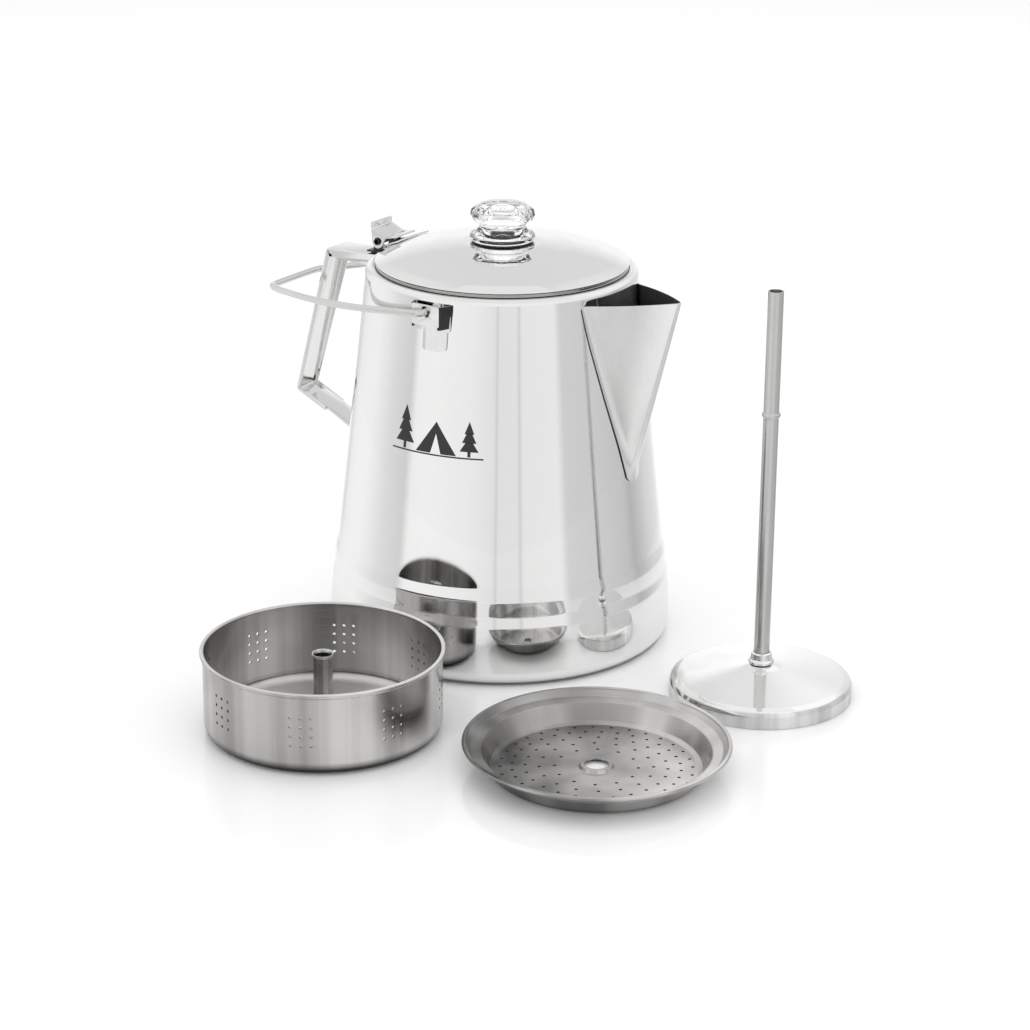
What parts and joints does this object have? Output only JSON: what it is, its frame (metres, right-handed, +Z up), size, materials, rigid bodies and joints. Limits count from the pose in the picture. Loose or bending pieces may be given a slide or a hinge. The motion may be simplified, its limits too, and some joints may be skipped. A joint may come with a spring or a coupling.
{
  "type": "camp coffee percolator",
  "caption": "Tall tapered steel percolator with V spout, hinged domed lid, glass knob, strap handle and wire bail; basket, spreader and pump stem set out beside it.",
  "frame": {"origin": "middle of the flat underside of the pot, on the surface it stands on", "axes": "+X toward the spout, -X toward the handle and hinge, +Y and -Y through the two bail ears, +Z up"},
  "size_m": [0.4037, 0.3674, 0.27],
  "materials": {
    "polished_steel": "mirror polished stainless steel",
    "satin_steel": "satin, with fine lathe lines",
    "sheet_steel": "semi-polished folded sheet",
    "wire_steel": "drawn bright wire",
    "clear_glass": "clear pressed glass",
    "seal_rubber": "matt"
  },
  "bodies": {
    "pot": {"pot_body": "polished_steel", "spout": "satin_steel", "handle_strap": "sheet_steel", "handle_foot": "sheet_steel", "hinge_bracket": "sheet_steel", "hinge_pin": "wire_steel", "ear_near": "sheet_steel", "ear_far": "sheet_steel"},
    "lid": {"lid_dome": "polished_steel", "lid_leaf": "sheet_steel", "lid_lever": "sheet_steel", "knob_glass": "clear_glass", "knob_seal": "seal_rubber"},
    "bail": {"bail_wire": "wire_steel"},
    "basket": {"basket_cup": "satin_steel", "basket_tube": "satin_steel"},
    "spreader": {"spreader_plate": "satin_steel"},
    "stem": {"stem_bell": "polished_steel", "stem_collar": "polished_steel", "stem_tube": "satin_steel"}
  },
  "joints": [
    {"name": "lid_hinge", "type": "hinge", "parent": "pot", "child": "lid", "pos_m": [-0.0855, 0, 0.2356], "axis": [0, -1, 0], "range_deg": [0, 95]},
    {"name": "bail_swing", "type": "hinge", "parent": "pot", "child": "bail", "pos_m": [0.006, 0, 0.2246], "axis": [0, 1, 0], "range_deg": [0, 198]},
    {"name": "basket_lift", "type": "slide", "parent": "pot", "child": "basket", "axis": [0, 0, 1], "range_m": [0, 0.25]},
    {"name": "spreader_lift", "type": "slide", "parent": "pot", "child": "spreader", "axis": [0, 0, 1], "range_m": [0, 0.25]},
    {"name": "stem_lift", "type": "slide", "parent": "pot", "child": "stem", "axis": [0, 0, 1], "range_m": [0, 0.25]}
  ]
}
